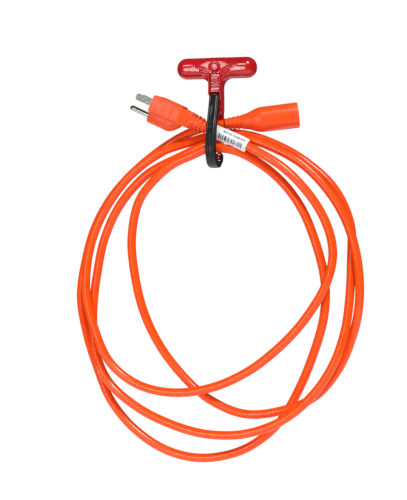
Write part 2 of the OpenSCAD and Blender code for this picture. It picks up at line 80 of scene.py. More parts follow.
# ---------- materials ----------
class Look:
    """A procedural material: a Principled shader and the nodes that feed it."""

    def __init__(self, name, **constants):
        self.material = bpy.data.materials.new(name)
        self.material.use_nodes = True
        self.tree = self.material.node_tree
        self.shader = self.tree.nodes["Principled BSDF"]
        for socket, value in constants.items():
            self.shader.inputs[socket.replace("_", " ")].default_value = value

    def add(self, kind, links=(), values=(), **settings):
        """A new node, with sockets linked or set by name or number."""
        node = self.tree.nodes.new(kind)
        for key, value in settings.items():
            setattr(node, key, value)
        for socket, value in values:
            node.inputs[socket].default_value = value
        for socket, source in links:
            self.tree.links.new(source, node.inputs[socket])
        return node

    def feed(self, socket, source):
        self.tree.links.new(source, self.shader.inputs[socket])

    def place(self, stretch=(1, 1, 1)):
        """Object coordinates, stretched along the axes."""
        coordinates = self.add("ShaderNodeTexCoord").outputs["Object"]
        return self.add(
            "ShaderNodeMapping", links=[("Vector", coordinates)], values=[("Scale", stretch)]
        ).outputs["Vector"]

    def noise(self, scale, detail=3, stretch=(1, 1, 1)):
        return self.add(
            "ShaderNodeTexNoise",
            links=[("Vector", self.place(stretch))],
            values=[("Scale", scale), ("Detail", detail)],
        ).outputs["Fac"]

    def spread(self, source, low, high, start=0.3, end=0.7):
        """source, from start to end, becomes low to high."""
        return self.add(
            "ShaderNodeMapRange",
            links=[("Value", source)],
            values=[("From Min", start), ("From Max", end), ("To Min", low), ("To Max", high)],
        ).outputs["Result"]

    def blend(self, factor, first, second):
        """Colour first where factor is 0, second where it is 1; either may be a socket."""
        node = self.add("ShaderNodeMix", links=[("Factor", factor)], data_type="RGBA")
        for socket, colour in (("A", first), ("B", second)):
            target = [s for s in node.inputs if s.name == socket and s.type == "RGBA"][0]
            if isinstance(colour, tuple):
                target.default_value = (*colour, 1)
            else:
                self.tree.links.new(colour, target)
        return [s for s in node.outputs if s.type == "RGBA"][0]

    def bump(self, source, strength, depth):
        node = self.add(
            "ShaderNodeBump",
            links=[("Height", source)],
            values=[("Strength", strength), ("Distance", depth)],
        )
        self.feed("Normal", node.outputs["Normal"])


# Scales of noise count its waves in a metre. Depths of grain are in metres.
PLASTIC_PATCHES, PLASTIC_WEAR, PLASTIC_GRAIN_STRENGTH = 55, 140, 0.35
METAL_PATCHES, METAL_LINES, METAL_LINE_STRENGTH, METAL_LINE_DEPTH = 120, 420, 0.1, 0.00001


def plastic(name, tone, shade, rough, grain, grain_depth, **constants):
    """Moulded plastic: tone drifts to shade in soft patches, over a fine grain."""
    look = Look(name, **constants)
    patches = look.spread(look.noise(PLASTIC_PATCHES), 0, 1)
    look.feed("Base Color", look.blend(patches, tone, shade))
    look.feed("Roughness", look.spread(look.noise(PLASTIC_WEAR), rough * 0.85, rough * 1.2))
    look.bump(look.noise(grain), PLASTIC_GRAIN_STRENGTH, grain_depth)
    return look.material


def metal(name, tone, shade, rough, stretch):
    """Rolled or drawn metal, with fine lines along the axis that stretch leaves at 1."""
    look = Look(name, Metallic=1.0)
    lines = look.noise(METAL_LINES, stretch=stretch)
    patches = look.spread(look.noise(METAL_PATCHES), 0, 1)
    look.feed("Base Color", look.blend(patches, tone, shade))
    look.feed("Roughness", look.spread(lines, rough * 0.7, rough * 1.4))
    look.bump(lines, METAL_LINE_STRENGTH, METAL_LINE_DEPTH)
    return look.material


FILM, FILM_SHADE, INK = (0.82, 0.84, 0.85), (0.7, 0.73, 0.75), (0.03, 0.05, 0.1)
FILM_PATCHES, FILM_WEAR, FILM_CREASES, FILM_CREASE_DEPTH = 90, 200, 700, 0.00005
# Rows of bars on the label, in metres: extent across and along the film, and scale of the bars.
LABEL_ROWS = [
    ((-0.0046, -0.003), (-0.033, -0.009), 1300),
    ((-0.0008, 0.0038), (-0.0315, -0.0065), 1000),
]


def bar_row(look, axes, across, along, scale):
    """1 on the bars of one row and 0 around them."""
    ticks = look.noise(scale, detail=0, stretch=(1, 0, 0))
    row = look.spread(ticks, 0, 1, start=0.47, end=0.5)
    for axis, (start, end) in (("Z", across), ("X", along)):
        inside = look.add(
            "ShaderNodeMath",
            links=[(0, axes.outputs[axis])],
            values=[(1, (start + end) / 2), (2, (end - start) / 2)],
            operation="COMPARE",
        ).outputs["Value"]
        both = look.add("ShaderNodeMath", links=[(0, row), (1, inside)], operation="MULTIPLY")
        row = both.outputs["Value"]
    return row


def printed_label():
    """White film with two plain rows of dark bars along it, like a generic stock tag."""
    look = Look("label_film", Coat_Weight=0.2)
    axes = look.add("ShaderNodeSeparateXYZ", links=[("Vector", look.place())])
    paper = look.blend(look.spread(look.noise(FILM_PATCHES), 0, 1), FILM, FILM_SHADE)
    for across, along, scale in LABEL_ROWS:
        paper = look.blend(bar_row(look, axes, across, along, scale), paper, INK)
    look.feed("Base Color", paper)
    look.feed("Roughness", look.spread(look.noise(FILM_WEAR), 0.3, 0.45))
    look.bump(look.noise(FILM_CREASES), 0.2, FILM_CREASE_DEPTH)
    return look.material


ORANGE = (0.9, 0.075, 0.003)
MATERIALS = {
    "cord_orange": plastic(
        "cord_pvc", ORANGE, (0.82, 0.062, 0.002),
        rough=0.2, grain=1500, grain_depth=0.000004, Specular_IOR_Level=0.32,
    ),
    "moulded_orange": plastic(
        "moulded_pvc", ORANGE, (0.84, 0.066, 0.003),
        rough=0.36, grain=1100, grain_depth=0.00002, Specular_IOR_Level=0.35,
    ),
    "insert_orange": plastic(
        "insert_plastic", (0.78, 0.09, 0.008), (0.7, 0.075, 0.006),
        rough=0.4, grain=1300, grain_depth=0.00006,
    ),
    "handle_red": plastic(
        "handle_abs", (0.5, 0.003, 0.008), (0.4, 0.002, 0.006),
        rough=0.2, grain=900, grain_depth=0.000003, Specular_IOR_Level=0.6,
    ),
    "jaw_black": plastic(
        "jaw_nylon", (0.003, 0.003, 0.004), (0.005, 0.005, 0.006),
        rough=0.38, grain=1000, grain_depth=0.000003, Specular_IOR_Level=0.45,
    ),
    "insert_white": plastic(
        "bridge_nylon", (0.8, 0.77, 0.7), (0.72, 0.69, 0.62),
        rough=0.45, grain=1200, grain_depth=0.00005,
    ),
    "wire_green": plastic(
        "wire_insulation", (0.04, 0.28, 0.1), (0.03, 0.22, 0.08),
        rough=0.4, grain=1400, grain_depth=0.00004,
    ),
    "nickel": metal(
        "nickel_plate", (0.28, 0.3, 0.26), (0.16, 0.18, 0.15), rough=0.42, stretch=(1, 6, 6)
    ),
    "bright_nickel": metal(
        "bright_nickel", (0.5, 0.5, 0.47), (0.4, 0.4, 0.38), rough=0.16, stretch=(1, 6, 6)
    ),
    "steel": metal(
        "zinc_steel", (0.6, 0.61, 0.63), (0.48, 0.49, 0.5), rough=0.3, stretch=(6, 1, 6)
    ),
    "contact_brass": metal(
        "contact_brass", (0.72, 0.52, 0.2), (0.6, 0.42, 0.15), rough=0.28, stretch=(1, 5, 5)
    ),
    "label_white": printed_label(),
}

# CAD nodes that are shown as they are, with the finish of each.
NODE_FINISH = {
    "handle_screws": "steel",
    "button_spring": "steel",
    "pawl": "steel",
    "pawl_pin": "steel",
    "pawl_spring": "steel",
    "jaw_pin": "steel",
    "plug_bridge": "insert_white",
    "line_blade": "nickel",
    "neutral_blade": "nickel",
    "ground_pin": "bright_nickel",
    "plug_crimps": "contact_brass",
    "plug_wires": "wire_green",
    "connector_core": "insert_orange",
    "line_contact": "contact_brass",
    "neutral_contact": "contact_brass",
    "ground_contact": "contact_brass",
    "connector_wires": "wire_green",
}
BLADE_EDGE = 0.25 * MM


def finish_nodes():
    for name, finish in NODE_FINISH.items():
        node = frame["nodes"][name]
        node.data.materials.clear()
        node.data.materials.append(MATERIALS[finish])
    for name in ("line_blade", "neutral_blade"):
        bevel = frame["nodes"][name].modifiers.new("edge", "BEVEL")
        bevel.width = BLADE_EDGE
        bevel.segments = 2
        bevel.limit_method = "ANGLE"


# ---------- cord ----------
CORD_DIAMETER = 0.0082
CORD_SIDES = 20
SPAN_STEPS = 9
# The jacket swells a little over the twisted cores inside it.
CORE_COUNT, CORE_RIPPLE, CORE_TURN_LENGTH = 3, 0.008, 0.09

# Route of the cord's middle from the plug to the connector, in millimetres.
ROUTE_MM = [
    # first loop
    (-0.5, -9.3, -59.4), (32, -10, -74), (69, -10, -97), (98, -9, -131), (111, -9, -166),
    (106, -9, -198), (88, -9, -229), (64, -9, -256), (32, -9, -281), (-4, -9, -297),
    (-41, -9, -302), (-75, -9, -295), (-102, -9, -275), (-117, -9, -245),
    (-126, -8, -211), (-124, -6, -172), (-111, -5, -136), (-86, -5, -102),
    (-55, -4, -79), (-29, 0, -69.5),
    # second loop
    (-5, 5.2, -62.5), (20, 7.3, -61.3), (49, 9.5, -69.5), (81, 9, -87), (109, 9, -113),
    (124, 9, -146), (125, 8, -182), (124, 4, -216), (120, 0, -246), (109, -4, -277),
    (89, -6, -305), (61, -6, -327), (27, -6, -339), (-9, -6, -340), (-43, -5, -332),
    (-77, -3, -317), (-106, -1, -294), (-120, 0, -263), (-122, 0, -228),
    (-118, 0, -192), (-110, 0, -157), (-94, 0.5, -125), (-68, 1, -98), (-34, -1, -81.5),
    # third loop
    (-3, -1, -68.5), (22, -1, -65.5), (51, -1, -74), (83, -1, -92), (109, -1, -120),
    (125, -1, -150), (133, 0, -184), (133, 4, -218), (126, 9, -248), (112, 9, -280),
    (90, 6, -305), (58, 3, -318), (24, 3, -321), (-9, 3, -308), (-35, 3, -286),
    (-57, 2, -258), (-72, 0, -226), (-80, -2, -191), (-82, -4, -156), (-73, -6, -121),
    (-47, -9, -94), (-23, -9, -82),
    # fourth loop
    (-1, -8.5, -75), (26, -5, -80.5), (56, 0, -101), (79, 0, -129), (94, 0, -164),
    (102, 1, -199), (100, 4, -232), (89, 8, -267), (73, 13, -302), (54, 12, -332),
    (23, 10, -355), (-15, 8, -364), (-51, 8, -358), (-83, 8, -339), (-107, 8, -312),
    (-121, 9, -281), (-131, 7, -248), (-136, 5, -214), (-131, 4, -180), (-121, 4, -147),
    (-103, 4, -117), (-76, 4, -90), (-45, 5, -68), (-18, 3, -56.5),
    (7, 0.5, -52.4),
]


def smooth_line(points, steps):
    """Catmull-Rom curve through the points, with steps points for each span."""
    points = np.array(points, float)
    padded = np.vstack([2 * points[0] - points[1], points, 2 * points[-1] - points[-2]])
    line = []
    for a, b, c, d in zip(padded, padded[1:], padded[2:], padded[3:]):
        for t in np.arange(steps) / steps:
            bend = (2 * a - 5 * b + 4 * c - d) * t * t + (3 * b - a - 3 * c + d) * t**3
            line.append(0.5 * (2 * b + (c - a) * t + bend))
    return np.array(line + [points[-1]])


def lengths_along(line):
    return np.concatenate([[0], np.cumsum(np.linalg.norm(np.diff(line, axis=0), axis=1))])


def tube_mesh(name, line, radius, sides):
    """Round tube along line, with closed ends and the ripple of the cores."""
    headings = np.gradient(line, axis=0)
    headings /= np.linalg.norm(headings, axis=1)[:, None]
    side = np.cross(headings[0], (0, 1, 0))
    angles = 2 * math.pi * np.arange(sides) / sides
    rings = []
    for centre, heading, run in zip(line, headings, lengths_along(line)):
        side = side - heading * (side @ heading)
        side /= np.linalg.norm(side)
        up = np.cross(heading, side)
        twist = 2 * math.pi * run / CORE_TURN_LENGTH
        swell = 1 - CORE_RIPPLE * (1 - np.cos(CORE_COUNT * (angles - twist))) / 2
        around = np.outer(np.cos(angles), side) + np.outer(np.sin(angles), up)
        rings.append(centre + radius * swell[:, None] * around)
    last = (len(line) - 1) * sides
    faces = [
        (r + k, r + (k + 1) % sides, r + sides + (k + 1) % sides, r + sides + k)
        for r in range(0, last, sides) for k in range(sides)
    ]
    faces.append(tuple(range(sides))[::-1])
    faces.append(tuple(range(last, last + sides)))
    mesh = bpy.data.meshes.new(name)
    mesh.from_pydata(np.vstack(rings).tolist(), [], faces)
    return mesh


def add_piece(name, mesh, finish, body, nodes, place=None, smoothing=0):
    """Puts a finished mesh in the scene, riding on a CAD body and standing for CAD nodes.

    place is a matrix, and smoothing is the number of passes that even out the mesh.
    """
    mesh.materials.append(MATERIALS[finish])
    mesh.polygons.foreach_set("use_smooth", [True] * len(mesh.polygons))
    piece = bpy.data.objects.new(name, mesh)
    bpy.context.collection.objects.link(piece)
    if place:
        piece.matrix_world = place
    if smoothing:
        even = piece.modifiers.new("even", "SMOOTH")
        even.factor = 0.5
        even.iterations = smoothing
    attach(piece, body)
    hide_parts(*nodes)
    return piece


# ---------- solid fields ----------
# A field is an array that is negative inside a shape and grows with the distance outside it.
# Fields are in millimetres. Where two fields join, the last number is the radius of the edge.
def unite(a, b, fillet=0):
    if not fillet:
        return np.minimum(a, b)
    corner = np.hypot(np.maximum(fillet - a, 0), np.maximum(fillet - b, 0))
    return np.maximum(fillet, np.minimum(a, b)) - corner


def meet(a, b, rounding=0):
    return -unite(-a, -b, rounding)


def cut(a, b, rounding=0):
    return meet(a, -b, rounding)


def slab(u, low, high):
    return np.abs(u - (low + high) / 2) - (high - low) / 2


def disc(u, v, centre, radius):
    return np.hypot(u - centre[0], v - centre[1]) - radius


def rounded(first, second, radius):
    """The cross-section made by two slabs, its corners rounded to radius."""
    a, b = first + radius, second + radius
    return np.hypot(np.maximum(a, 0), np.maximum(b, 0)) + np.minimum(np.maximum(a, b), 0) - radius


def block(point, low, high, radius=0.0):
    """Box with all its edges rounded to radius."""
    sides = [slab(u, a, b) + radius for u, a, b in zip(point, low, high)]
    outside = np.sqrt(sum(np.maximum(s, 0) ** 2 for s in sides))
    inside = np.minimum(np.maximum(np.maximum(sides[0], sides[1]), sides[2]), 0)
    return outside + inside - radius


def from_line(u, v, points):
    """Distance from a line through the points."""
    nearest = np.inf
    for (u0, v0), (u1, v1) in zip(points, points[1:]):
        du, dv = u1 - u0, v1 - v0
        t = np.clip(((u - u0) * du + (v - v0) * dv) / (du * du + dv * dv), 0, 1)
        nearest = np.minimum(nearest, np.hypot(u - u0 - t * du, v - v0 - t * dv))
    return nearest


def outline(u, v, points):
    """Field of a flat closed outline."""
    closed = [*points, points[0]]
    inside = np.zeros(np.broadcast_shapes(u.shape, v.shape), bool)
    for (u0, v0), (u1, v1) in zip(closed, closed[1:]):
        if v0 != v1:
            inside ^= ((v0 > v) != (v1 > v)) & (u < u0 + (v - v0) * (u1 - u0) / (v1 - v0))
    far = from_line(u, v, closed)
    return np.where(inside, -far, far)


def ramp(u, start, end):
    """0 before start, 1 after end, and a smooth rise between."""
    t = np.clip((u - start) / (end - start), 0, 1)
    return t * t * (3 - 2 * t)


def field_mesh(name, field, low, high, step):
    """Meshes the surface where field(x, y, z) is zero, in a grid from low to high."""
    axes = [np.arange(a, b + step, step, dtype=np.float32) for a, b in zip(low, high)]
    x, y, z = np.meshgrid(*axes, indexing="ij", sparse=True)
    values = np.broadcast_to(field(x, y, z), [len(a) for a in axes])
    band = 3 * step
    grid = openvdb.FloatGrid(band)
    grid.copyFromArray(np.ascontiguousarray(np.clip(values, -band, band), dtype=np.float32))
    points, quads = grid.convertToQuads(0.0)
    corners = points[quads[:, :3].astype(int)].astype(float)
    volume = np.einsum("ij,ij->i", corners[:, 0], np.cross(corners[:, 1], corners[:, 2])).sum()
    if volume < 0:
        quads = quads[:, ::-1]
    mesh = bpy.data.meshes.new(name)
    places = (np.array(low) + step * points) * MM
    mesh.from_pydata(places.tolist(), [], quads.astype(int).tolist())
    return mesh


# ---------- carry handle ----------
# The grip lies along x, the stem hangs from its middle, and the front is at negative y.
GRIP_HALF, GRIP_TOP, GRIP_BOTTOM, GRIP_DEPTH, GRIP_ROUND = 38, 9.3, -10.2, 10, 9.4
# Half the thickness between the flats, which grows with the distance past FLAT_EVEN.
FLAT_HALF, FLAT_EVEN, FLAT_GROWTH = 9.3, 12, 0.05
# Top of the stem, as far as it takes part in the fillet with the grip.
TEE_TOP, TEE_BOTTOM, TEE_BACK, TEE_FILLET = 2, -26, 5, 9
STEM_HALF, STEM_FRONT, STEM_END = 6, -9, -41
# The stem gets narrower towards the back.
TAPER_START, TAPER = -2, 0.155
BAR_HALF, BAR_TOP = 3.3, -37
FOOT_HALF, FOOT_TOP, FOOT_WIDE_BELOW, FOOT_RADIUS = 1.5, -77, -72, 2.6
HINGE, HINGE_PIN = (8, -83), 1.5
# Side view of the stem and of the bar behind the cord, as (y, z).
STEM_SIDE = [
    (-9, 0), (-9, -23.8), (-6, -31), (-4, -32), (-4, -38), (-1, -41), (6, -43),
    (10.3, -48), (10.3, -66), (6, -77), (5, -80), (11, -80), (11.6, -77), (13.8, -66),
    (13.8, -26), (9, -12), (9, 0),
]
# Raised ribs on the front, as (distance from the middle, z).
RAILS = [
    [(5.3, -25), (5.2, -9.5), (6, -5.6), (8.4, -2.6), (12, -0.8), (17, 0)],
    [(7.6, -8), (8.4, -5.8), (10.4, -4.2), (13.5, -3.2)],
    [(9.2, -9.6), (10, -7.8), (12, -6.4), (14.5, -5.8)],
]
RAIL_RADIUS = 0.9
# Screws as (x, z, y of the back there). The two in the grip stand in raised bosses.
SCREWS = [(-25, 0, 10), (25, 0, 10), (0, -36, 13.8)]
SCREW_HOLE, SCREW_DEPTH, BOSS_RADIUS, BOSS_HEIGHT = 2.8, 2, 4.2, 5
# Long shallow groove in each arm of the grip, as (x, z).
GROOVE_MIDDLE, GROOVE_HALF, GROOVE_FLOOR = (27.7, 1.2), (6.8, 0.9), -9.4
# The rack is a ring about the hinge, in a channel up the stem. The bay above it holds the pawl.
RACK_OUTER, RACK_THICK, RACK_HALF, RACK_PLAY = 61, 6, 2.7, 0.4
CHANNEL_TOP, CHANNEL_BOTTOM = -10, -40
BAY_LOW, BAY_HIGH = (-3.2, -4.4, -22.6), (3.2, 7, 4.8)
# The button in its shaft, with a shallow well round it, and the lock slide in its recess.
SHAFT_PLAY, SHAFT_END, WELL_RADIUS, WELL_FLOOR = 0.2, 0.6, 5.2, -8.6
BUTTON_RADIUS, BUTTON_FRONT, BUTTON_BACK = 3.3, -9.4, -3.6
LOCK_HALF, LOCK_TOP, LOCK_BOTTOM, LOCK_BACK = 4.2, -8.6, -23.4, -6.6
RECESS_TOP, RECESS_BOTTOM, RECESS_OPEN = -6.2, -25.4, -14


def rack_ring(y, z):
    """Field of the ring that the rack runs in, about the hinge, without play."""
    return slab(np.hypot(y - HINGE[0], z - HINGE[1]), RACK_OUTER - RACK_THICK, RACK_OUTER)


def grip_field(x, y, z):
    """The grip and the top of the stem, filleted together and flat in front and behind."""
    grip = block(
        (x, y, z), (-GRIP_HALF, -GRIP_DEPTH, GRIP_BOTTOM), (GRIP_HALF, GRIP_DEPTH, GRIP_TOP), GRIP_ROUND
    )
    core = block(
        (x, y, z), (-STEM_HALF, STEM_FRONT, TEE_BOTTOM), (STEM_HALF, TEE_BACK, TEE_TOP), 1.5
    )
    flat = slab(y, -FLAT_HALF, FLAT_HALF) - FLAT_GROWTH * np.maximum(np.abs(x) - FLAT_EVEN, 0)
    return meet(unite(grip, core, TEE_FILLET), flat, 0.8)


def handle_outside(x, y, z):
    """Grip, stem, back bar and hinge foot, with the ribs and the screw bosses."""
    side = outline(y, z, STEM_SIDE)
    half_width = np.minimum(STEM_HALF, STEM_HALF - TAPER * (y - TAPER_START))
    stem = meet(meet(side, np.abs(x) - half_width, 1.4), STEM_END - z, 0.7)
    bar = meet(meet(side, slab(x, -BAR_HALF, BAR_HALF), 1), slab(z, FOOT_TOP, BAR_TOP), 0.5)
    knuckle = unite(meet(side, z - FOOT_WIDE_BELOW), disc(y, z, HINGE, FOOT_RADIUS))
    foot = meet(knuckle, slab(x, -FOOT_HALF, FOOT_HALF), 0.4)
    shape = unite(unite(unite(grip_field(x, y, z), stem, 1), bar), foot)
    rails = np.inf
    for rail in RAILS:
        from_rail = np.hypot(from_line(np.abs(x), z, rail), y + FLAT_HALF)
        rails = np.minimum(rails, from_rail - RAIL_RADIUS)
    shape = unite(shape, rails, 0.4)
    for at_x, at_z, back in SCREWS[:2]:
        boss = meet(disc(x, z, (at_x, at_z), BOSS_RADIUS), slab(y, back - BOSS_HEIGHT, back), 0.3)
        shape = unite(shape, boss, 0.5)
    return shape


def handle_field(x, y, z):
    """The moulded handle with its openings, before it is parted in two shells."""
    shape = handle_outside(x, y, z)
    along = (np.abs(x) - GROOVE_MIDDLE[0]) / GROOVE_HALF[0]
    across = (z - GROOVE_MIDDLE[1]) / GROOVE_HALF[1]
    groove = (np.hypot(along, across) - 1) * GROOVE_HALF[1]
    shape = cut(shape, meet(groove, y - GROOVE_FLOOR), 0.3)
    shape = cut(shape, meet(disc(x, z, (0, 0), WELL_RADIUS), y - WELL_FLOOR, 0.3), 0.3)
    shape = cut(shape, meet(disc(x, z, (0, 0), BUTTON_RADIUS + SHAFT_PLAY), y - SHAFT_END))
    recess_half = LOCK_HALF + SHAFT_PLAY
    recess = block(
        (x, y, z), (-recess_half, RECESS_OPEN, RECESS_BOTTOM), (recess_half, LOCK_BACK, RECESS_TOP), 0.3
    )
    shape = cut(shape, recess, 0.25)
    shape = cut(shape, block((x, y, z), BAY_LOW, BAY_HIGH))
    channel = meet(rack_ring(y, z) - RACK_PLAY, slab(x, -RACK_HALF, RACK_HALF) - RACK_PLAY)
    shape = cut(shape, meet(channel, slab(z, CHANNEL_BOTTOM, CHANNEL_TOP)))
    shape = cut(shape, disc(y, z, HINGE, HINGE_PIN))
    for at_x, at_z, back in SCREWS:
        hole = meet(disc(x, z, (at_x, at_z), SCREW_HOLE), back - SCREW_DEPTH - y)
        shape = cut(shape, hole, 0.2)
    return shape


# The handle's two shells part at y = 0. Each has a grid, and the sign of y on the side that it lacks.
SHELLS = [
    ("handle_front", (-40, -12, -44), (40, 1, 11), 0.36, 1),
    ("handle_back", (-40, -1, -88), (40, 17, 11), 0.4, -1),
]
SEAM, SEAM_ROUND = 0.06, 0.3
SHELL_SMOOTHING = 4


def add_handle():
    for name, low, high, step, lacks in SHELLS:

        def shell(x, y, z, lacks=lacks):
            return meet(handle_field(x, y, z), lacks * y + SEAM, SEAM_ROUND)

        mesh = field_mesh(name, shell, low, high, step)
        add_piece(name, mesh, "handle_red", "handle", [name + "_shell"], smoothing=SHELL_SMOOTHING)


THUMB_RADIUS, THUMB_DEPTH = 30, 0.2
BUTTON_STEM_RADIUS, BUTTON_STEM_FRONT, BUTTON_STEM_BACK = 1.2, -4, -0.2


def button_field(x, y, z):
    """Round button with a soft rim and a hollow for the thumb, on its stem."""
    cap = meet(disc(x, z, (0, 0), BUTTON_RADIUS), slab(y, BUTTON_FRONT, BUTTON_BACK), 0.5)
    thumb_middle = BUTTON_FRONT + THUMB_DEPTH - THUMB_RADIUS
    hollow = np.sqrt(x * x + z * z + (y - thumb_middle) ** 2) - THUMB_RADIUS
    stem = disc(x, z, (0, 0), BUTTON_STEM_RADIUS)
    stem = meet(stem, slab(y, BUTTON_STEM_FRONT, BUTTON_STEM_BACK))
    return unite(cut(cap, hollow, 0.2), stem)


PLATE_THICK, PLATE_PLAY = 1, 0.2
PAD_HALF, PAD_FRONT, PAD_BACK = 3.4, -9.2, -7
LIP_FRONT, LIP_TOP = -9.4, -21.6
# The pad at the top of the lock slide and its three ribs, as (bottom, top).
LOCK_BARS = [(-11.2, -8.9), (-13.5, -12.3), (-16.2, -15), (-18.9, -17.7)]


def lock_field(x, y, z):
    """Plate with a wide pad, three ribs and a lip at its foot."""
    plate_back = LOCK_BACK - PLATE_PLAY
    plate_front = plate_back - PLATE_THICK
    shape = block(
        (x, y, z), (-LOCK_HALF, plate_front, LOCK_BOTTOM), (LOCK_HALF, plate_back, LOCK_TOP), 0.3
    )
    for bottom, top in LOCK_BARS:
        bar = block((x, y, z), (-PAD_HALF, PAD_FRONT, bottom), (PAD_HALF, PAD_BACK, top), 0.45)
        shape = unite(shape, bar, 0.2)
    lip = block((x, y, z), (-LOCK_HALF, LIP_FRONT, LOCK_BOTTOM), (LOCK_HALF, PAD_BACK, LIP_TOP), 0.5)
    return unite(shape, lip, 0.2)


def add_release():
    button = field_mesh("button", button_field, (-4, -10, -4), (4, 0.4, 4), 0.2)
    add_piece("button", button, "handle_red", "button", ["release_button"])
    lock = field_mesh("lock_pad", lock_field, (-5, -10, -24), (5, -6, -8), 0.25)
    add_piece("lock_pad", lock, "handle_red", "lock", ["lock_slide"])


# ---------- jaw ----------
JAW_HALF, JAW_FOOT_HALF, JAW_EDGE = 4.75, 3.2, 1.5
# The jaw gets narrower from front to back, between these two places along y.
NARROW_START, NARROW_END = -10, 4
KNUCKLE_RADIUS, KNUCKLE_PLAY, FOOT_PLAY, PIN_PLAY = 3.8, 1, 0.3, 0.06
# Room over the knuckle for the handle's back bar.
ABOVE_KNUCKLE_LOW, ABOVE_KNUCKLE_HIGH = (-9, 2, -83), (9, 14, -73)
TOOTH_DEGREES, TOOTH_DEPTH, TOOTH_COUNT = 2.3, 1.1, 7
RACK_TIP_DEGREES, RACK_FRONT_DEGREES, RACK_BLUNT_DEGREES = -4.5, 17.6, 2
# Faces of the jaw as (y, z): outer from the stem down to the foot, then the inner face back up.
JAW_OUTER = [
    (-9.6, -25.4), (-11.2, -27.8), (-13, -33), (-17, -44), (-21.5, -57), (-24, -69),
    (-24.6, -77), (-23.4, -84), (-19.6, -90), (-13, -93), (-4, -93.2), (3, -92), (8.6, -88.2),
]
JAW_INNER = [
    (5.5, -85.6), (1, -86.8), (-4, -87.2), (-11.4, -86.8), (-15.4, -84.4), (-18, -80),
    (-18.4, -76), (-18, -68), (-16, -57.6), (-11.4, -45), (-7.8, -36), (-7, -32.2),
]
JAW_FOOT = [(5, -86.2), (8.4, -88.6), (11.2, -85.5), (10, -81), (5, -81)]
JAW_CURVE_STEPS = 4
JAW_SMOOTHING = 8
# Groove down the middle of the outer face, with a stretch of fine ribs in it.
FLUTE_HALF, FLUTE_DEPTH, FLUTE_TOP, FLUTE_BOTTOM = 1.2, 0.5, -36, -88
FINE_RIBS_TOP, FINE_RIBS_BOTTOM, FINE_RIBS_PER_MM = -45, -64, 0.75
FINE_RIB_FOOT, FINE_RIB_SLOPE, FINE_RIB_DEPTH = 0.45, 0.8, (0.1, 0.55)
# Narrow groove on each side of that one, and a groove along each flank.
LINE_OUT, LINE_HALF, LINE_DEPTH = 2.9, 0.3, 0.3
FLANK_INSET, FLANK_HALF, FLANK_DEPTH, FLANK_TOP, FLANK_BOTTOM = 2.9, 0.5, 0.5, -34, -86


def rack_field(x, y, z):
    """Arc of the rack, with saw teeth along its top."""
    back, up = y - HINGE[0], z - HINGE[1]
    degrees = np.degrees(np.arctan2(-back, up))
    step = (degrees - RACK_TIP_DEGREES - RACK_BLUNT_DEGREES) / TOOTH_DEGREES
    toothed = (step > 0) & (step < TOOTH_COUNT) & (np.abs(x) < RACK_HALF - 1)
    top = RACK_OUTER - np.where(toothed, TOOTH_DEPTH * (step % 1), 0)
    from_hinge = np.hypot(back, up)
    ring = np.maximum(from_hinge - top, RACK_OUTER - RACK_THICK - from_hinge)
    ends = slab(degrees, RACK_TIP_DEGREES, RACK_FRONT_DEGREES)
    return meet(meet(ring, ends, 0.4), slab(x, -RACK_HALF, RACK_HALF), 0.5)


def jaw_arm_field(x, y, z):
    """The C-shaped arm, with the grooves and ribs on its outer face and its flanks."""
    outer = [tuple(p) for p in smooth_line(JAW_OUTER, JAW_CURVE_STEPS)]
    inner = [tuple(p) for p in smooth_line(JAW_INNER, JAW_CURVE_STEPS)]
    profile = outline(y, z, outer + inner)
    behind = np.clip((y - NARROW_START) / (NARROW_END - NARROW_START), 0, 1)
    narrow = (JAW_HALF - JAW_FOOT_HALF) * behind
    arm = meet(profile, slab(x, -JAW_HALF, JAW_HALF) + narrow, JAW_EDGE)
    from_outer = from_line(y, z, outer)
    middle = slab(x, -FLUTE_HALF, FLUTE_HALF)
    flute = meet(from_outer - FLUTE_DEPTH, middle, 0.2)
    arm = cut(arm, meet(flute, slab(z, FLUTE_BOTTOM, FLUTE_TOP)), 0.25)
    ribs = meet(from_outer - FINE_RIB_DEPTH[1], middle)
    ribs = meet(ribs, slab(z, FINE_RIBS_BOTTOM, FINE_RIBS_TOP))
    wave = 2 * np.abs((z * FINE_RIBS_PER_MM) % 1 - 0.5)
    ribs = meet(ribs, FINE_RIB_FOOT - FINE_RIB_SLOPE * wave)
    arm = unite(arm, meet(ribs, FINE_RIB_DEPTH[0] - from_outer), 0.15)
    for side in (-1, 1):
        line = slab(x, side * LINE_OUT - LINE_HALF, side * LINE_OUT + LINE_HALF)
        arm = cut(arm, meet(from_outer - LINE_DEPTH, line), 0.25)
        flank = np.abs(profile + FLANK_INSET) - FLANK_HALF
        flank = meet(flank, slab(side * x, JAW_HALF - FLANK_DEPTH, JAW_HALF + 1), 0.2)
        arm = cut(arm, meet(flank, slab(z, FLANK_BOTTOM, FLANK_TOP)), 0.2)
    return arm


def jaw_field(x, y, z):
    """The arm with its rack and its forked foot, which takes the handle's foot in the middle."""
    knuckle = unite(outline(y, z, JAW_FOOT), disc(y, z, HINGE, KNUCKLE_RADIUS))
    foot = meet(knuckle, slab(x, -JAW_FOOT_HALF, JAW_FOOT_HALF), 0.8)
    jaw = unite(unite(jaw_arm_field(x, y, z), foot, 0.6), rack_field(x, y, z), 0.3)
    above = block((x, y, z), ABOVE_KNUCKLE_LOW, ABOVE_KNUCKLE_HIGH)
    gap = unite(disc(y, z, HINGE, KNUCKLE_RADIUS + KNUCKLE_PLAY), above)
    jaw = cut(jaw, meet(gap, slab(x, -FOOT_HALF, FOOT_HALF) - FOOT_PLAY))
    return cut(jaw, disc(y, z, HINGE, HINGE_PIN + PIN_PLAY))


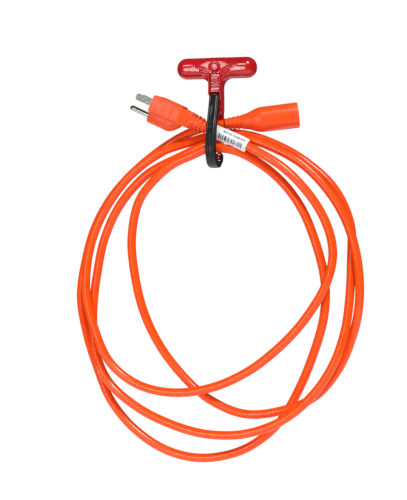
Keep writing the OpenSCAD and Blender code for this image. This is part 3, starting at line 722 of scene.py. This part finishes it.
def add_jaw():
    mesh = field_mesh("jaw", jaw_field, (-5.5, -26, -95), (5.5, 19, -18), 0.3)
    add_piece("jaw", mesh, "jaw_black", "jaw", ["jaw_arm"], smoothing=JAW_SMOOTHING)


# ---------- plug and connector ----------
# Both run along local x from the cord's end to their face. Local y is to the side.
# The grooves of a strain relief: their half width and first place, in pitches.
RELIEF_GROOVE_HALF, RELIEF_GROOVE_FIRST = 0.27, 0.75
SPINE_HALF = 1.8
PLUG_LENGTH, PLUG_RELIEF, PLUG_GROOVES, PLUG_GROOVE_DEPTH = 63, 24, 5, 1.7
PLUG_ROUND, PLUG_SHOULDER = 1.6, 35
# The plug's body grows from the first number by the second, and its relief too.
PLUG_HIGH, PLUG_WIDE, PLUG_RELIEF_RADIUS = (7.5, 0.75), (7.6, 3.6), (5.2, 2.3)
PLUG_RELIEF_GROWS = (4, 17)
PLUG_FLARE_START, PLUG_FLARE = 31, 1.3
# Bulge over the ground pin, which drops towards the cord.
BULGE_START, BULGE_RADIUS, BULGE_NARROWS, BULGE_DROPS = 31, 6.3, 1.2, 7.4
DROP_START, DROP_LENGTH = 43, 12
GROUND_OFFSET, GROUND_RADIUS, BLADE_PITCH, BLADE_HALF = 11.9, 2.38, 12.7, (0.75, 3.18)
HOLE_DEPTH = 2
LEDGE_LOW, LEDGE_HIGH = (34, -8.5, -9.1), (58.5, 8.5, -6)
PANEL_START, PANEL_END, PANEL_HALF, PANEL_DEPTH, PANEL_OPEN = 27.5, 42, 5.4, 0.3, 16
CONNECTOR_LENGTH, CONNECTOR_RELIEF, CORE_LENGTH = 69, 20, 22
CONNECTOR_SHOULDER, CONNECTOR_FLARE_START = 35, 30
CONNECTOR_GROOVES, CONNECTOR_GROOVE_DEPTH = 4, 0.6
# The connector's body grows from the first number by the second, and again by the third.
CONNECTOR_HIGH, CONNECTOR_WIDE, CONNECTOR_ROUND = (6.7, 4.8, 0.2), (6.7, 5.6, 1.2), 0.9
CONNECTOR_RELIEF_RADIUS = (5.1, 1.9)
CORE_HIGH, CORE_WIDE, CORE_ROUND = 9.8, 11, 6
LABEL_LENGTH, LABEL_OUTER, LABEL_INNER = 35, 4.65, 4.15
WING_HIGH, WING_HALF, WING_ROUND, WING_FILLET = 6.1, 0.4, 0.35, 3


def mount_axis(name):
    return Vector(next(m["axis"] for m in frame["record"]["mounts"] if m["name"] == name))


def local_frame(origin, along, side):
    """Matrix with local x along the piece, local y to its side, at the cord's end."""
    side = (side - along * side.dot(along)).normalized()
    matrix = Matrix((along, side, along.cross(side))).transposed().to_4x4()
    return Matrix.Translation(Vector(origin) * MM) @ matrix


def relief_field(x, y, z, length, radius, grooves, depth):
    """Tapered strain relief: slots above and below leave a spine on each side."""
    pitch = length / (grooves + 1)
    shape = meet(np.hypot(y, z) - radius, slab(x, 0, length + 2), 0.6)
    for i in range(grooves):
        middle = (i + RELIEF_GROOVE_FIRST) * pitch
        slot = slab(x, middle - RELIEF_GROOVE_HALF * pitch, middle + RELIEF_GROOVE_HALF * pitch)
        groove = meet(meet(slot, radius - depth - np.hypot(y, z)), SPINE_HALF - np.abs(z), 0.4)
        shape = cut(shape, groove, 0.2)
    return shape


def plug_body_field(x, y, z):
    """Flat-sided body with a half-round bulge, and a recessed panel on each side."""
    high = PLUG_HIGH[0] + PLUG_HIGH[1] * ramp(x, PLUG_RELIEF, PLUG_LENGTH)
    wide = PLUG_WIDE[0] + PLUG_WIDE[1] * ramp(x, PLUG_RELIEF - 1, PLUG_SHOULDER)
    wide = wide + PLUG_FLARE * ramp(x, PLUG_FLARE_START, PLUG_LENGTH)
    section = rounded(np.abs(z) - high, np.abs(y) - wide, PLUG_ROUND)
    body = meet(section, slab(x, PLUG_RELIEF - 1.5, PLUG_LENGTH), 0.7)
    drop = np.clip((DROP_START - x) / DROP_LENGTH, 0, 1.2) ** 2
    middle = GROUND_OFFSET - BULGE_DROPS * drop
    radius = BULGE_RADIUS - BULGE_NARROWS * drop
    swelling = unite(
        np.hypot(y, z - middle) - radius, rounded(np.abs(y) - radius, slab(z, 0, middle), 1)
    )
    bulge = meet(swelling, slab(x, BULGE_START, PLUG_LENGTH), 0.7)
    shape = unite(unite(body, bulge, 0.9), block((x, y, z), LEDGE_LOW, LEDGE_HIGH, 0.5), 0.3)
    for side in (-1, 1):
        low = (PANEL_START, wide - PANEL_DEPTH, -PANEL_HALF)
        panel = block((x, side * y, z), low, (PANEL_END, PANEL_OPEN, PANEL_HALF), 0.5)
        shape = cut(shape, panel, 0.2)
    return shape


def plug_field(x, y, z):
    """Body and strain relief, with holes for the pins. Local +z is the ground pin's side."""
    radius = PLUG_RELIEF_RADIUS[0] + PLUG_RELIEF_RADIUS[1] * ramp(x, *PLUG_RELIEF_GROWS)
    relief = relief_field(x, y, z, PLUG_RELIEF, radius, PLUG_GROOVES, PLUG_GROOVE_DEPTH)
    shape = unite(plug_body_field(x, y, z), relief, 0.3)
    near_face = PLUG_LENGTH - HOLE_DEPTH - x
    for middle in (-BLADE_PITCH / 2, BLADE_PITCH / 2):
        across = slab(y, middle - BLADE_HALF[0], middle + BLADE_HALF[0])
        blade = meet(across, slab(z, -BLADE_HALF[1], BLADE_HALF[1]))
        shape = cut(shape, meet(blade, near_face))
    return cut(shape, meet(disc(y, z, (0, GROUND_OFFSET), GROUND_RADIUS), near_face))


def connector_field(x, y, z):
    """Round-shouldered body that flares from its strain relief. Local z is up."""
    flare = ramp(x, CONNECTOR_RELIEF - 3, CONNECTOR_SHOULDER)
    growth = ramp(x, CONNECTOR_FLARE_START, CONNECTOR_LENGTH)
    high = CONNECTOR_HIGH[0] + CONNECTOR_HIGH[1] * flare + CONNECTOR_HIGH[2] * growth
    wide = CONNECTOR_WIDE[0] + CONNECTOR_WIDE[1] * flare + CONNECTOR_WIDE[2] * growth
    section = rounded(np.abs(z) - high, np.abs(y) - wide, CONNECTOR_ROUND * high)
    body = meet(section, slab(x, CONNECTOR_RELIEF - 2, CONNECTOR_LENGTH), 0.6)
    radius = CONNECTOR_RELIEF_RADIUS[0] + CONNECTOR_RELIEF_RADIUS[1] * x / CONNECTOR_RELIEF
    relief = relief_field(
        x, y, z, CONNECTOR_RELIEF, radius, CONNECTOR_GROOVES, CONNECTOR_GROOVE_DEPTH
    )
    core = rounded(np.abs(z) - CORE_HIGH, np.abs(y) - CORE_WIDE, CORE_ROUND)
    return cut(unite(body, relief, 0.5), meet(core, CONNECTOR_LENGTH - CORE_LENGTH - x))


def label_field(cord_line):
    """Film wrapped round the cord, its edges pressed flat together above and below."""

    def field(x, y, z):
        middle_y = np.interp(x, cord_line[::-1, 0], cord_line[::-1, 1])
        middle_z = np.interp(x, cord_line[::-1, 0], cord_line[::-1, 2])
        from_cord = np.hypot(y - middle_y, z - middle_z)
        wing = rounded(
            np.abs(y - middle_y) - WING_HALF, np.abs(z - middle_z) - WING_HIGH, WING_ROUND
        )
        wrap = unite(from_cord - LABEL_OUTER, wing, WING_FILLET)
        shape = meet(wrap, slab(x, -LABEL_LENGTH - 0.2, -0.4), 0.15)
        return cut(shape, from_cord - LABEL_INNER)

    return field


def add_cord_and_ends():
    line = smooth_line(ROUTE_MM, SPAN_STEPS) * MM
    mesh = tube_mesh("cord_tube", line, CORD_DIAMETER / 2, CORD_SIDES)
    cord = add_piece("cord_tube", mesh, "cord_orange", "handle", ["cord"])

    plug_place = local_frame(ROUTE_MM[0], mount_axis("ground_pin"), Vector((0, 1, 0)))
    mesh = field_mesh("plug_moulding", plug_field, (-1, -14, -10.5), (70, 14, 19.5), 0.4)
    plug = add_piece("plug_moulding", mesh, "moulded_orange", "handle", ["plug_body"], plug_place)

    along = mount_axis("ground_hole")
    place = local_frame(ROUTE_MM[-1], along, Vector((-along.y, along.x, 0)))
    mesh = field_mesh("connector_moulding", connector_field, (-1, -15, -13), (71, 15, 13), 0.42)
    connector = add_piece(
        "connector_moulding", mesh, "moulded_orange", "handle", ["connector_body"], place
    )

    into_plug = np.array(plug_place.inverted())
    local_line = (line[: 3 * SPAN_STEPS] @ into_plug[:3, :3].T + into_plug[:3, 3]) / MM
    mesh = field_mesh("stock_label", label_field(local_line), (-36, -6, -8), (1, 6, 8), 0.3)
    label = add_piece("stock_label", mesh, "label_white", "handle", ["cord_label"], plug_place)


# ---------- surroundings ----------
# A white floor well below the cord, which glows a little so that no edge of it shows.
FLOOR_GAP, FLOOR_HALF, FLOOR_GLOW = 0.1, 0.7, 0.35
FLOOR_TONE, FLOOR_SHADE, FLOOR_PATCHES = (0.93, 0.93, 0.93), (0.95, 0.95, 0.95), 0.6
WHITE = (1, 1, 1, 1)
# Strength of the sky as light, as seen in shiny surfaces, and as seen by the camera.
SKY, SKY_IN_GLOSS, SKY_IN_VIEW = 0.42, 0.07, 1
KEY_POWER, KEY_TURN, KEY_ANGLE = 2.5, (38, 25, 0), math.radians(12)
STRIP_POWER, STRIP_TURN, STRIP_WIDTH, STRIP_HEIGHT = 5.5, (90, 0, -16), 0.2, 0.6
STRIP_PLACE = (-0.41, -1.44, -0.06)


def add_floor():
    height = cad_box[0][2] - FLOOR_GAP
    mesh = bpy.data.meshes.new("floor")
    square = ((-1, -1), (1, -1), (1, 1), (-1, 1))
    corners = [(x * FLOOR_HALF, y * FLOOR_HALF, height) for x, y in square]
    mesh.from_pydata(corners, [], [(0, 1, 2, 3)])
    look = Look("floor_paint", Roughness=0.8, Emission_Color=WHITE, Emission_Strength=FLOOR_GLOW)
    patches = look.spread(look.noise(FLOOR_PATCHES), 0, 1)
    look.feed("Base Color", look.blend(patches, FLOOR_TONE, FLOOR_SHADE))
    mesh.materials.append(look.material)
    floor = bpy.data.objects.new("floor", mesh)
    bpy.context.collection.objects.link(floor)


def add_light(kind, name, power, turn, **settings):
    """A light that shines the way turn, in degrees, tips it from straight down."""
    data = bpy.data.lights.new(name, kind)
    data.energy = power
    for key, value in settings.items():
        setattr(data, key, value)
    light = bpy.data.objects.new(name, data)
    light.rotation_euler = [math.radians(a) for a in turn]
    bpy.context.collection.objects.link(light)
    return light


def add_lights():
    """A soft key from above at the front right, and an upright strip at the front left."""
    add_light("SUN", "key", KEY_POWER, KEY_TURN, angle=KEY_ANGLE)
    strip = add_light(
        "AREA", "strip", STRIP_POWER, STRIP_TURN,
        shape="RECTANGLE", size=STRIP_WIDTH, size_y=STRIP_HEIGHT,
    )
    strip.location = STRIP_PLACE


def make_sky():
    """White surroundings: bright to the camera, and dimmer as light and in shiny surfaces."""
    world = bpy.data.worlds.new("studio")
    world.use_nodes = True
    nodes, links = world.node_tree.nodes, world.node_tree.links
    rays = nodes.new("ShaderNodeLightPath")
    nodes["Background"].inputs["Color"].default_value = WHITE
    nodes["Background"].inputs["Strength"].default_value = SKY
    sky = nodes["Background"].outputs["Background"]
    for ray, strength in (("Is Glossy Ray", SKY_IN_GLOSS), ("Is Camera Ray", SKY_IN_VIEW)):
        other = nodes.new("ShaderNodeBackground")
        other.inputs["Color"].default_value = WHITE
        other.inputs["Strength"].default_value = strength
        mix = nodes.new("ShaderNodeMixShader")
        links.new(rays.outputs[ray], mix.inputs["Fac"])
        links.new(sky, mix.inputs[1])
        links.new(other.outputs["Background"], mix.inputs[2])
        sky = mix.outputs["Shader"]
    links.new(sky, nodes["World Output"].inputs["Surface"])
    bpy.context.scene.world = world
    bpy.context.scene.view_settings.view_transform = "Standard"


make_camera()
add_cord_and_ends()
add_handle()
add_release()
add_jaw()
finish_nodes()
add_floor()
add_lights()
make_sky()
